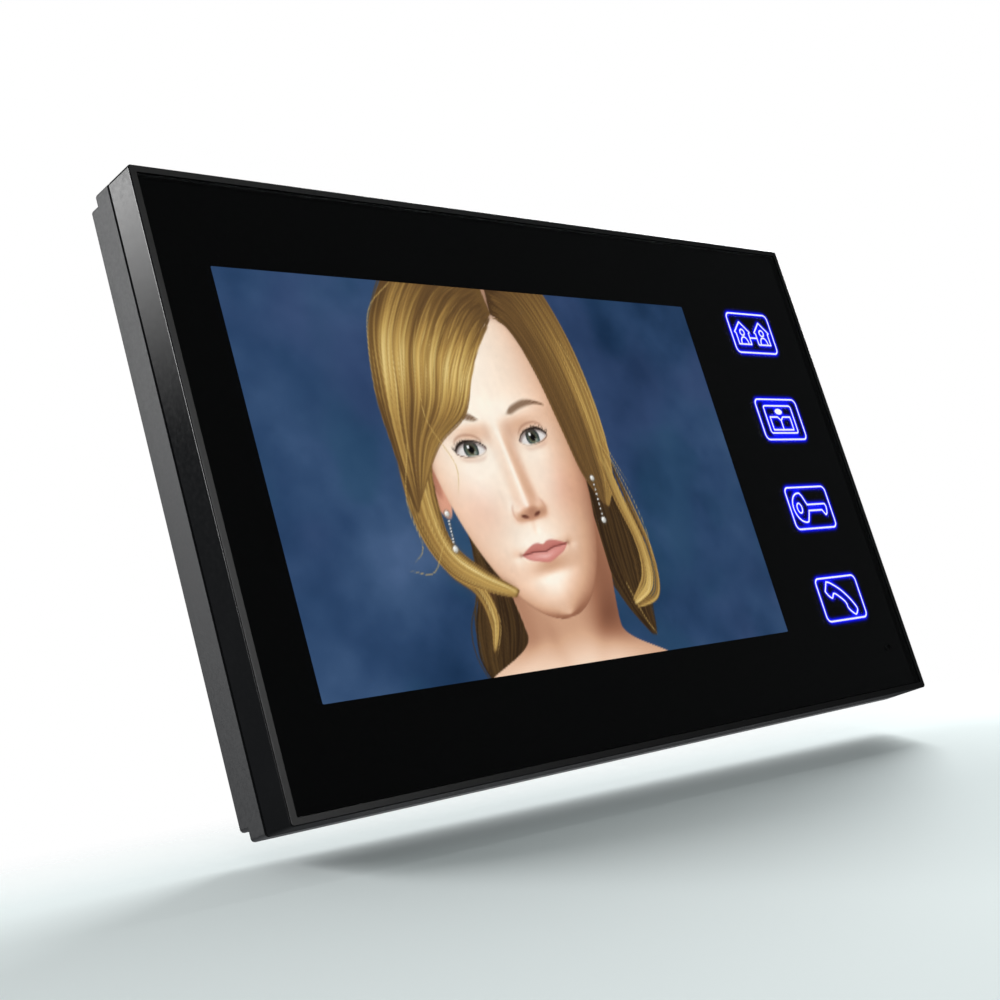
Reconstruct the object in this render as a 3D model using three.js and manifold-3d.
// Wall-hung video intercom monitor: a 7 inch screen and four touch keys behind one sheet of black glass.
// Millimetres, +Z up. The origin is the centre of the wall bracket's back face, on the wall.
// The front faces -Y, and +X is to the right of a person who looks at the screen.
import * as THREE from "three";
import * as BufferGeometryUtils from "three/addons/utils/BufferGeometryUtils.js";
import Module from "manifold-3d";

const wasm = await Module();
wasm.setup();

// ---------- driving dimensions ----------

const WIDTH = 220.5; // frame and case, across
const HEIGHT = 133.3; // frame and case, top to bottom
const CORNER_R = 0.8; // outline corners
const LIP_R = 0.3; // rounded front edge of the frame
const BACK_R = 0.5; // rounded edges towards the wall

// planes, from the front to the wall
const FRONT_Y = -16.2; // frame's front lip
const FRAME_BACK_Y = -8.6; // where the shadow gap starts
const CASE_FRONT_Y = -7.9; // where the shadow gap ends
const STEP_Y = -3.0; // where the lower step of the case starts
const BACK_Y = -0.4; // case back, just off the wall

const STEP_INSET = 2.3; // the step is lower than the case by this at the top and the bottom
const WALL = 2.0; // case back wall
const FRAME_WALL = 1.9; // frame side wall
const CASE_WALL = 2.6; // case side wall
const CLEAR = 0.1; // gap between two pieces that meet

// glass
const GLASS_W = 216.9;
const GLASS_H = 130.0;
const GLASS_T = 1.8;
const GLASS_SINK = 0.2; // below the lip
const GLASS_FRONT_Y = FRONT_Y + GLASS_SINK;
const GLASS_BACK_Y = GLASS_FRONT_Y + GLASS_T;
const TAPE_T = 0.2;
const LEDGE_FRONT_Y = GLASS_BACK_Y + TAPE_T;
const LEDGE_BACK_Y = LEDGE_FRONT_Y + 1.2;
const LEDGE_HALF_W = 104.4; // opening inside the ledge
const LEDGE_HALF_H = 57.0;

// 7 inch 800 x 480 panel
const SCREEN_W = 152.4;
const SCREEN_H = 91.44;
const SCREEN_X = -20.3; // centre of the picture
const LCD_W = 165;
const LCD_H = 104;
const LCD_Z = -1.0; // centre of the module's outline
const LCD_FRONT_Y = GLASS_BACK_Y + 0.5;
const LCD_BACK_Y = LCD_FRONT_Y + 5.2;
const LCD_SHEET = 0.4; // bezel steel

// touch keys
const KEY_X = 84.4;
const KEY_PITCH = 26.0;
const KEY_NAMES = ["intercom", "record", "unlock", "talk"]; // from the top
const KEY_BOARD_FRONT_Y = GLASS_BACK_Y + 2.0;
const BOARD_T = 1.2;

// main board
const BOARD_FRONT_Y = LCD_BACK_Y + 0.4;
const BOARD_BACK_Y = BOARD_FRONT_Y + BOARD_T;
const BOARD_X = [-95, 56];
const BOARD_Z = [-44, 44];
const BOARD_SCREWS = [[-90, 40], [50, 40], [50, -40], [-90, -40]];

// microphone
const MIC = { x: 99.3, z: -54, hole: 0.75, capsule: 3.0, boot: 4.2, pocket: 4.5 };

// loudspeaker, facing the wall
const SPEAKER = { x: 86, z: -34, r: 14 };

// slots for air in the case back
const VENTS = [[-86, -30], [86, 34]];

// thumbwheels and button on the right side
const WHEEL_R = 7;
const WHEEL_T = 2.2;
const WHEEL_PROUD = 1.0; // how far the rim stands out of the case
const WHEEL_X = WIDTH / 2 + WHEEL_PROUD - WHEEL_R;
const WHEEL_Y = -5.4; // mid plane
const WHEELS = { volume: 44, brightness: 26, contrast: 8 }; // height of each axis
const BUTTON = { z: -9, w: 5.0, h: 2.2, proud: 0.7 };

// case screws
const SCREW_SPOTS = [[-88, 58.6], [88, 58.6], [88, -58.6], [-88, -58.6]];

// wall bracket
const PLATE_W = 126;
const PLATE_H = 74;
const PLATE_T = 1.2;
const LIFT = 7; // travel that frees the hooks
const HOOK_W = 9;
const HOOK_NECK = 2.5;
const HOOK_TONGUE = 6; // above the neck
const HOOKS = [[-52, 24], [52, 24], [52, -20], [-52, -20]]; // top of each neck
const RECESS_FLOOR_Y = -2.6; // outer face of the recess that holds the plate
const RECESS_INNER_Y = -4.2;
const CABLE_W = 48; // window that the cables come through, below the bracket's centre
const CABLE_H = 26;
const CABLE_Z = -20;

// ---------- shapes ----------

// three.js geometry to a solid that can be joined and cut
function solid(geometry) {
  const bare = geometry.clone();
  bare.deleteAttribute("normal");
  bare.deleteAttribute("uv");
  const merged = BufferGeometryUtils.mergeVertices(bare, 1e-4);
  return new wasm.Manifold(new wasm.Mesh({
    numProp: 3,
    vertProperties: new Float32Array(merged.attributes.position.array),
    triVerts: new Uint32Array(merged.index.array),
  }));
}

function block([x0, x1], [y0, y1], [z0, z1]) {
  const box = new THREE.BoxGeometry(x1 - x0, y1 - y0, z1 - z0);
  return solid(box.translate((x0 + x1) / 2, (y0 + y1) / 2, (z0 + z1) / 2));
}

// outline with round corners in the XZ plane
function roundedOutline(width, height, radius) {
  const shape = new THREE.Shape();
  const x = width / 2 - radius;
  const z = height / 2 - radius;
  shape.absarc(x, z, radius, 0, Math.PI / 2);
  shape.absarc(-x, z, radius, Math.PI / 2, Math.PI);
  shape.absarc(-x, -z, radius, Math.PI, Math.PI * 1.5);
  shape.absarc(x, -z, radius, Math.PI * 1.5, Math.PI * 2);
  return shape;
}

// an outline in the XZ plane, extruded from y0 to y1
function extrude(shape, y0, y1, curveSegments = 4) {
  const geometry = new THREE.ExtrudeGeometry(shape, { depth: y1 - y0, bevelEnabled: false, curveSegments });
  return solid(geometry.rotateX(Math.PI / 2).translate(0, y1, 0));
}

function plate(width, height, radius, y0, y1, x = 0, z = 0) {
  return extrude(roundedOutline(width, height, radius), y0, y1).translate([x, 0, z]);
}

// a plate whose edges round both faces are rounded off
function softPlate(width, height, radius, y0, y1, edge) {
  const geometry = new THREE.ExtrudeGeometry(roundedOutline(width, height, radius), {
    depth: y1 - y0 - 2 * edge, bevelThickness: edge, bevelSize: edge, bevelOffset: -edge, bevelSegments: 3,
    curveSegments: 4,
  });
  return solid(geometry.rotateX(Math.PI / 2).translate(0, y1 - edge, 0));
}

// round bar along Y
function bar(radius, y0, y1, x = 0, z = 0, segments = 24) {
  const geometry = new THREE.CylinderGeometry(radius, radius, y1 - y0, segments);
  return solid(geometry.translate(x, (y0 + y1) / 2, z));
}

// solid of revolution about Y; the outline goes round anticlockwise as [radius, y]
function turned(outline, segments = 32) {
  const points = outline.map(([radius, y]) => new THREE.Vector2(radius, y));
  return solid(new THREE.LatheGeometry(points, segments));
}

// ---------- placing ----------

const monitor = new THREE.Group();

function part(name, body, look, parent = monitor) {
  const { vertProperties, triVerts } = body.getMesh();
  const geometry = new THREE.BufferGeometry();
  geometry.setAttribute("position", new THREE.BufferAttribute(vertProperties, 3));
  geometry.setIndex(new THREE.BufferAttribute(triVerts, 1));
  geometry.computeVertexNormals();
  const mesh = new THREE.Mesh(geometry, new THREE.MeshStandardMaterial(look));
  mesh.name = name;
  parent.add(mesh);
  return mesh;
}

const LOOKS = {
  glossBlack: { color: 0x15171a, roughness: 0.12, metalness: 0.0 },
  matteBlack: { color: 0x25272a, roughness: 0.55, metalness: 0.0 },
  blackGlass: { color: 0x0a0c0b, roughness: 0.04, metalness: 0.0 },
  clearPlastic: { color: 0xdfe8f2, roughness: 0.15, metalness: 0.0 },
  screen: { color: 0x2d4b7d, roughness: 0.3, metalness: 0.0 },
  steel: { color: 0xa9adb0, roughness: 0.35, metalness: 1.0 },
  darkSteel: { color: 0x3a3c3e, roughness: 0.45, metalness: 1.0 },
  board: { color: 0x14522c, roughness: 0.5, metalness: 0.0 },
  chip: { color: 0x1a1b1c, roughness: 0.5, metalness: 0.0 },
  white: { color: 0xe8e6dc, roughness: 0.5, metalness: 0.0 },
  rubber: { color: 0x181818, roughness: 0.9, metalness: 0.0 },
  ribbon: { color: 0xb87a2c, roughness: 0.4, metalness: 0.0 },
};

// ---------- front ----------

function frontFrame() {
  const innerW = WIDTH - 2 * FRAME_WALL;
  const innerH = HEIGHT - 2 * FRAME_WALL;
  let body = softPlate(WIDTH, HEIGHT, CORNER_R, FRONT_Y, FRAME_BACK_Y + 2, LIP_R);
  body = body.subtract(block([-WIDTH, WIDTH], [FRAME_BACK_Y, 0], [-HEIGHT, HEIGHT]));
  body = body.subtract(plate(GLASS_W + 2 * CLEAR, GLASS_H + 2 * CLEAR, 0.3, FRONT_Y - 1, LEDGE_FRONT_Y));
  body = body.subtract(plate(2 * LEDGE_HALF_W, 2 * LEDGE_HALF_H, 2, FRONT_Y, FRAME_BACK_Y));
  body = body.subtract(plate(innerW, innerH, 0.5, LEDGE_BACK_Y, FRAME_BACK_Y + 1));
  for (const [x, z] of SCREW_SPOTS) {
    body = body.add(bar(3.4, LEDGE_BACK_Y - 0.3, FRAME_BACK_Y, x, z));
    body = body.subtract(bar(1.4, LEDGE_BACK_Y + 0.4, FRAME_BACK_Y + 1, x, z, 16));
  }
  return body.subtract(bar(MIC.pocket, LEDGE_FRONT_Y - 1, FRAME_BACK_Y + 1, MIC.x, MIC.z));
}

function frontGlass() {
  const sheet = plate(GLASS_W, GLASS_H, 0.3, GLASS_FRONT_Y, GLASS_BACK_Y);
  return sheet.subtract(bar(MIC.hole, GLASS_FRONT_Y - 1, GLASS_BACK_Y + 1, MIC.x, MIC.z, 16));
}

function glassTape() {
  const y = [GLASS_BACK_Y + 0.02, LEDGE_FRONT_Y - 0.02];
  const ring = plate(GLASS_W - 1, GLASS_H - 1, 0.5, ...y);
  const opened = ring.subtract(plate(2 * LEDGE_HALF_W + 1, 2 * LEDGE_HALF_H + 1, 2, y[0] - 1, y[1] + 1));
  return opened.subtract(bar(MIC.pocket, y[0] - 1, y[1] + 1, MIC.x, MIC.z));
}

part("front_frame", frontFrame(), LOOKS.glossBlack);
part("front_glass", frontGlass(), LOOKS.blackGlass);
part("glass_tape", glassTape(), LOOKS.rubber);

// ---------- screen module ----------

function lcdLayer(width, height, y0, y1) {
  return plate(width, height, 0.5, y0, y1, SCREEN_X, LCD_Z);
}

function lcdBezel() {
  const back = LCD_BACK_Y - 1;
  const shell = lcdLayer(LCD_W, LCD_H, LCD_FRONT_Y, back);
  const hollow = lcdLayer(LCD_W - 2 * LCD_SHEET, LCD_H - 2 * LCD_SHEET, LCD_FRONT_Y + LCD_SHEET, back + 1);
  const view = plate(SCREEN_W + 2, SCREEN_H + 2, 0.5, LCD_FRONT_Y - 1, back, SCREEN_X, 0);
  return shell.subtract(hollow).subtract(view);
}

// glass cell, with its polariser raised through the bezel's window
function lcdPanel() {
  const cell = lcdLayer(160, 99, LCD_FRONT_Y + 0.6, LCD_FRONT_Y + 2.0);
  return cell.add(plate(SCREEN_W + 1, SCREEN_H + 1, 0.3, GLASS_BACK_Y + CLEAR, LCD_FRONT_Y + 1, SCREEN_X, 0));
}

function lcdGasket() {
  const y = [GLASS_BACK_Y + CLEAR, LCD_FRONT_Y - CLEAR];
  const sheet = lcdLayer(LCD_W - 1, LCD_H - 1, ...y);
  return sheet.subtract(plate(SCREEN_W + 4, SCREEN_H + 4, 0.5, y[0] - 1, y[1] + 1, SCREEN_X, 0));
}

function lcdBackTray() {
  let tray = lcdLayer(LCD_W - 2, LCD_H - 2, LCD_BACK_Y - 0.6, LCD_BACK_Y);
  for (const [x, z] of BOARD_SCREWS) {
    tray = tray.subtract(bar(1.4, LCD_BACK_Y - 2, LCD_BACK_Y + 1, x, z, 16));
  }
  return tray;
}

// flat ribbon of a given width, along a route in the plane that the ribbon's width is square to
function ribbon(route, width, thickness) {
  const curve = new THREE.CatmullRomCurve3(route.map((point) => new THREE.Vector3(...point)));
  const section = new THREE.Shape();
  section.moveTo(-width / 2, -thickness / 2);
  section.lineTo(width / 2, -thickness / 2);
  section.lineTo(width / 2, thickness / 2);
  section.lineTo(-width / 2, thickness / 2);
  section.closePath();
  return solid(new THREE.ExtrudeGeometry(section, { steps: 24, extrudePath: curve }));
}

part("lcd_gasket", lcdGasket(), LOOKS.rubber);
part("lcd_bezel", lcdBezel(), LOOKS.steel);
part("lcd_panel", lcdPanel(), LOOKS.screen);
part("lcd_light_guide", lcdLayer(161, 100, LCD_FRONT_Y + 2.2, LCD_BACK_Y - 1.1), LOOKS.clearPlastic);
part("lcd_back_tray", lcdBackTray(), LOOKS.steel);

// ---------- touch keys ----------

function keyLightGuide() {
  const front = GLASS_BACK_Y + 0.2;
  const back = KEY_BOARD_FRONT_Y - 0.2;
  const pad = plate(24, 17, 1.5, front, back);
  return pad.subtract(block([-2.4, 2.4], [back - 1.2, back + 1], [-9, -5.6]));
}

const keyBoardY = [KEY_BOARD_FRONT_Y, KEY_BOARD_FRONT_Y + BOARD_T];
part("key_board", block([66, 103.4], keyBoardY, [-49, 54.5]), LOOKS.board);
KEY_NAMES.forEach((name, i) => {
  const key = new THREE.Group();
  key.position.set(KEY_X, 0, (1.5 - i) * KEY_PITCH);
  part(`${name}_key_light_guide`, keyLightGuide(), LOOKS.clearPlastic, key);
  const led = block([-1.7, 1.7], [KEY_BOARD_FRONT_Y - 0.9, KEY_BOARD_FRONT_Y - 0.05], [-7.9, -6.3]);
  part(`${name}_key_led`, led, LOOKS.white, key);
  monitor.add(key);
});

// ---------- main board ----------

function mainBoard() {
  let board = block(BOARD_X, [BOARD_FRONT_Y, BOARD_BACK_Y], BOARD_Z);
  for (const [x, z] of BOARD_SCREWS) {
    board = board.subtract(bar(1.4, BOARD_FRONT_Y - 1, BOARD_BACK_Y + 1, x, z, 16));
  }
  return board;
}

// side-entry socket, its mouth facing down at z = 0
function cableSocket(width) {
  const y = [BOARD_BACK_Y + CLEAR, BOARD_BACK_Y + 5.3];
  const shell = block([-width / 2, width / 2], y, [0, 8.5]);
  return shell.subtract(block([-width / 2 + 0.7, width / 2 - 0.7], [y[0] + 0.5, y[1] - 0.5], [-1, 6.5]));
}

function onBoard(name, shape, look, x, z) {
  const mesh = part(name, shape, look);
  mesh.position.set(x, BOARD_BACK_Y + CLEAR, z);
}

const chipBody = (side) => block([-side / 2, side / 2], [0, 1.3], [-side / 2, side / 2]);
const capacitor = bar(3.9, 0, 3.8).add(block([-4, 4], [0, 0.5], [-4, 4]));

part("main_board", mainBoard(), LOOKS.board);
onBoard("main_processor", chipBody(14), LOOKS.chip, -28, 30);
onBoard("video_decoder", chipBody(10), LOOKS.chip, 6, 30);
onBoard("power_inductor", plate(7, 7, 1.5, 0, 3.2), LOOKS.chip, -82, 2);
onBoard("filter_capacitor_1", capacitor, LOOKS.steel, -82, 30);
onBoard("filter_capacitor_2", capacitor, LOOKS.steel, -82, 17);
onBoard("lcd_connector", block([-21, 21], [0, 1.6], [-2.4, 2.4]), LOOKS.white, SCREEN_X, -34);
for (const [name, x] of Object.entries({ door_1_socket: -14, door_2_socket: 0, power_socket: 14 })) {
  part(name, cableSocket(12), LOOKS.white).position.set(x, 0, CABLE_Z);
}

// from the lower edge of the glass cell, round the bottom of the module and board, up to its connector
const lcdTail = [
  [SCREEN_X, LCD_FRONT_Y + 1.2, -54.2], [SCREEN_X, LCD_FRONT_Y + 1.5, -55.1], [SCREEN_X, -10.5, -55.6],
  [SCREEN_X, -7.6, -54.6], [SCREEN_X, -6.3, -51], [SCREEN_X, -6.2, -44], [SCREEN_X, -6.2, -37],
];
part("lcd_flex_cable", ribbon(lcdTail, 40, 0.25), LOOKS.ribbon);
// from the back of the key board, past the edge of the screen module, to the back of the main board
const keyTail = [[76, -10.5, 0], [70, -10.5, 0], [65, -9.6, 0], [61, -7.2, 0], [57, -6.3, 0], [50, -6.3, 0]];
part("key_board_cable", ribbon(keyTail, 10, 0.5), LOOKS.ribbon);

// ---------- screws ----------

// the head's underside is at y = 0, the shank runs to -Y, and the cross recess faces the wall
function screw(headR, headT, shankR, length) {
  const shank = [[0, -length], [shankR, -length + 0.4], [shankR, 0]];
  const body = turned([...shank, [headR, 0], [headR, headT], [0, headT]], 16);
  const arm = headR * 0.6;
  const slot = block([-arm, arm], [headT - 0.7, headT + 1], [-0.35, 0.35]);
  return body.subtract(slot).subtract(slot.rotate([0, 90, 0]));
}

const caseScrew = screw(2.5, 1.4, 1.25, 7.6);
SCREW_SPOTS.forEach(([x, z], i) => {
  part(`case_screw_${i + 1}`, caseScrew, LOOKS.darkSteel).position.set(x, -4.1, z);
});
const boardScrew = screw(2.2, 1.1, 1.1, 2.2);
BOARD_SCREWS.forEach(([x, z], i) => {
  part(`board_screw_${i + 1}`, boardScrew, LOOKS.steel).position.set(x, BOARD_BACK_Y + CLEAR, z);
});

// ---------- side controls ----------

const CONTROL_BACK_Y = -8.3; // face of the control board that the parts sit on

part("control_board", block([90, 106.5], [CONTROL_BACK_Y - BOARD_T, CONTROL_BACK_Y], [-16, 54]), LOOKS.board);

function thumbwheel() {
  const teeth = 36;
  const rim = new THREE.Shape();
  for (let i = 0; i < teeth; i++) {
    const angle = (i / teeth) * 2 * Math.PI;
    const half = Math.PI / teeth;
    const draw = i ? "lineTo" : "moveTo";
    rim[draw](WHEEL_R * Math.cos(angle), WHEEL_R * Math.sin(angle));
    rim.lineTo((WHEEL_R - 0.4) * Math.cos(angle + half), (WHEEL_R - 0.4) * Math.sin(angle + half));
  }
  rim.closePath();
  const disc = extrude(rim, -WHEEL_T / 2, WHEEL_T / 2);
  return disc.subtract(bar(4.2, WHEEL_T / 2 - 0.5, WHEEL_T, 0, 0, 24));
}

function potentiometer() {
  const top = WHEEL_Y - WHEEL_T / 2 - 0.25;
  const base = block([-6, 2.4], [CONTROL_BACK_Y + 0.05, top - 0.3], [-4.5, 4.5]);
  return base.add(bar(2.2, CONTROL_BACK_Y + 0.2, top));
}

for (const [name, z] of Object.entries(WHEELS)) {
  const control = new THREE.Group();
  control.position.set(WHEEL_X, 0, z);
  part(`${name}_wheel`, thumbwheel(), LOOKS.matteBlack, control).position.y = WHEEL_Y;
  part(`${name}_potentiometer`, potentiometer(), LOOKS.chip, control);
  monitor.add(control);
}

function chimeButton() {
  const face = WIDTH / 2 + BUTTON.proud;
  const halfH = BUTTON.h / 2;
  const halfW = BUTTON.w / 2;
  const cap = block([105.9, face], [-halfH, halfH], [-halfW, halfW]);
  return cap.add(block([105.9, 107], [-halfH, halfH + 0.5], [-halfW - 1, halfW + 1]));
}

const chime = new THREE.Group();
chime.position.set(0, WHEEL_Y, BUTTON.z);
part("chime_button", chimeButton(), LOOKS.matteBlack, chime);
const switchBody = block([99, 104.4], [CONTROL_BACK_Y - WHEEL_Y + 0.05, 1.2], [-3, 3]);
part("chime_switch", switchBody.add(block([104, 105.3], [-0.8, 0.8], [-1.3, 1.3])), LOOKS.chip, chime);
monitor.add(chime);

// ---------- sound ----------

const speaker = new THREE.Group();
speaker.position.set(SPEAKER.x, 0, SPEAKER.z);
part("speaker_gasket", turned([
  [11.4, -3.0], [SPEAKER.r, -3.0], [SPEAKER.r, -2.5], [11.4, -2.5], [11.4, -3.0]]), LOOKS.rubber, speaker);
part("speaker_basket", turned([
  [7.2, -6.0], [9.0, -6.0], [12.0, -4.2], [SPEAKER.r, -4.2], [SPEAKER.r, -3.1], [11.2, -3.1], [7.2, -5.2],
  [7.2, -6.0]]), LOOKS.darkSteel, speaker);
part("speaker_magnet", turned([[0, -9.2], [6.9, -9.2], [6.9, -5.3], [0, -5.3]]), LOOKS.steel, speaker);
part("speaker_cone", turned([
  [0, -4.6], [3.0, -4.9], [7.0, -4.9], [10.9, -3.1], [10.6, -2.8], [7.0, -4.5], [3.0, -4.5], [0, -4.2]]),
LOOKS.rubber, speaker);
monitor.add(speaker);

const mic = new THREE.Group();
mic.position.set(MIC.x, 0, MIC.z);
const bootCup = bar(MIC.boot, GLASS_BACK_Y + CLEAR, -10.6);
const bootHollow = bar(MIC.capsule + 0.1, GLASS_BACK_Y + 1.1, -10);
part("microphone_boot", bootCup.subtract(bootHollow).subtract(bar(1, -15, -10)), LOOKS.rubber, mic);
part("microphone", bar(MIC.capsule, GLASS_BACK_Y + 1.2, -10.9), LOOKS.steel, mic);
monitor.add(mic);

// ---------- rear case ----------

// the case's outer form: full-height walls, the lower step behind them and the rim that fits in the frame
function caseForm() {
  const whole = softPlate(WIDTH, HEIGHT, CORNER_R, CASE_FRONT_Y - 2, STEP_Y, BACK_R);
  const walls = whole.subtract(block([-WIDTH, WIDTH], [CASE_FRONT_Y - 3, CASE_FRONT_Y], [-HEIGHT, HEIGHT]));
  const step = softPlate(WIDTH, HEIGHT - 2 * STEP_INSET, CORNER_R, STEP_Y - 3, BACK_Y, BACK_R);
  const rimW = WIDTH - 2 * (FRAME_WALL + CLEAR);
  const rimH = HEIGHT - 2 * (FRAME_WALL + CLEAR);
  return walls.add(step).add(plate(rimW, rimH, 0.5, CASE_FRONT_Y - 1.5, CASE_FRONT_Y + 1));
}

function caseHollow() {
  const w = WIDTH - 2 * CASE_WALL;
  const h = HEIGHT - 2 * CASE_WALL;
  const rim = plate(w - 1.2, h - 1.2, 0.5, CASE_FRONT_Y - 2, CASE_FRONT_Y + 1);
  const upper = plate(w, h, 0.5, CASE_FRONT_Y + 1, STEP_Y - WALL);
  const lower = plate(w, h - 2 * STEP_INSET + 1.2, 0.5, STEP_Y - WALL - 1, BACK_Y - WALL);
  return rim.add(upper).add(lower);
}

// slots that let sound or air through, in a round or square field
function slots(x, z, halfLength, count) {
  let cut = null;
  for (let i = 0; i < count; i++) {
    const offset = (i - (count - 1) / 2) * 3.2;
    const half = halfLength(offset);
    const height = [z + offset - 0.8, z + offset + 0.8];
    const slot = block([x - half, x + half], [BACK_Y - WALL - 1, BACK_Y + 1], height);
    cut = cut ? cut.add(slot) : slot;
  }
  return cut;
}

function rearCase() {
  const recessZ = [-PLATE_H / 2 - LIFT - 1.5, PLATE_H / 2 + 1.5];
  const recessX = [-PLATE_W / 2 - 2, PLATE_W / 2 + 2];
  const pad = 2; // wall round the recess
  let body = caseForm().subtract(caseHollow());
  const tub = block([recessX[0] - pad, recessX[1] + pad], [RECESS_INNER_Y, BACK_Y - 1],
    [recessZ[0] - pad, recessZ[1] + pad]);
  body = body.add(tub).subtract(block(recessX, [RECESS_FLOOR_Y, BACK_Y + 1], recessZ));
  for (const [x, z] of SCREW_SPOTS) {
    body = body.add(bar(4, FRAME_BACK_Y + 0.3, BACK_Y - 1, x, z));
    body = body.subtract(bar(2.9, RECESS_INNER_Y, BACK_Y + 1, x, z));
    body = body.subtract(bar(1.6, FRAME_BACK_Y - 1, BACK_Y, x, z, 16));
  }
  const ring = bar(15.6, -5.2, BACK_Y - 1, SPEAKER.x, SPEAKER.z).subtract(
    bar(SPEAKER.r + 0.4, -6, BACK_Y - WALL, SPEAKER.x, SPEAKER.z));
  body = body.add(ring);
  body = body.subtract(slots(SPEAKER.x, SPEAKER.z, (dz) => Math.sqrt(11 ** 2 - dz ** 2), 7));
  for (const [x, z] of VENTS) {
    body = body.subtract(slots(x, z, () => 9, 6));
  }
  for (const [x, z] of HOOKS) {
    const half = HOOK_W / 2 + 1;
    body = body.subtract(block([x - half, x + half], [-6, 0], [z - HOOK_NECK - LIFT - 0.7, z + 0.15]));
  }
  const windowZ = [CABLE_Z - CABLE_H / 2 + 1, CABLE_Z + CABLE_H / 2 - 1];
  body = body.subtract(block([-CABLE_W / 2, CABLE_W / 2], [-6, 0], windowZ));
  const side = [WIDTH / 2 - 5, WIDTH / 2 + 1];
  for (const z of Object.values(WHEELS)) {
    body = body.subtract(block(side, [WHEEL_Y - 1.45, WHEEL_Y + 1.45], [z - 6.8, z + 6.8]));
  }
  const gap = 0.3; // round the button
  return body.subtract(block(side, [WHEEL_Y - BUTTON.h / 2 - gap, WHEEL_Y + BUTTON.h / 2 + gap],
    [BUTTON.z - BUTTON.w / 2 - gap, BUTTON.z + BUTTON.w / 2 + gap]));
}

part("rear_case", rearCase(), LOOKS.matteBlack);

// ---------- wall bracket ----------

function wallBracket() {
  const through = [-PLATE_T - 1, 1];
  let body = plate(PLATE_W, PLATE_H, 4, -PLATE_T, 0);
  body = body.subtract(plate(CABLE_W, CABLE_H, 3, ...through, 0, CABLE_Z));
  for (const x of [-30, 30]) {
    body = body.subtract(plate(5, 9, 2.45, ...through, x, CABLE_Z)); // upright screw slot
    body = body.subtract(plate(9, 5, 2.45, ...through, x, 22)); // level screw slot
  }
  for (const [x, z] of HOOKS) {
    const half = HOOK_W / 2;
    body = body.subtract(block([x - half - 1, x + half + 1], through, [z, z + HOOK_TONGUE + 3.5]));
    const neck = block([x - half, x + half], [-4.6, -PLATE_T / 2], [z - HOOK_NECK, z]);
    const tongue = block([x - half, x + half], [-5.6, -4.5], [z - HOOK_NECK, z + HOOK_TONGUE]);
    body = body.add(neck).add(tongue);
  }
  return body;
}

part("wall_bracket", wallBracket(), LOOKS.steel);

export default monitor;
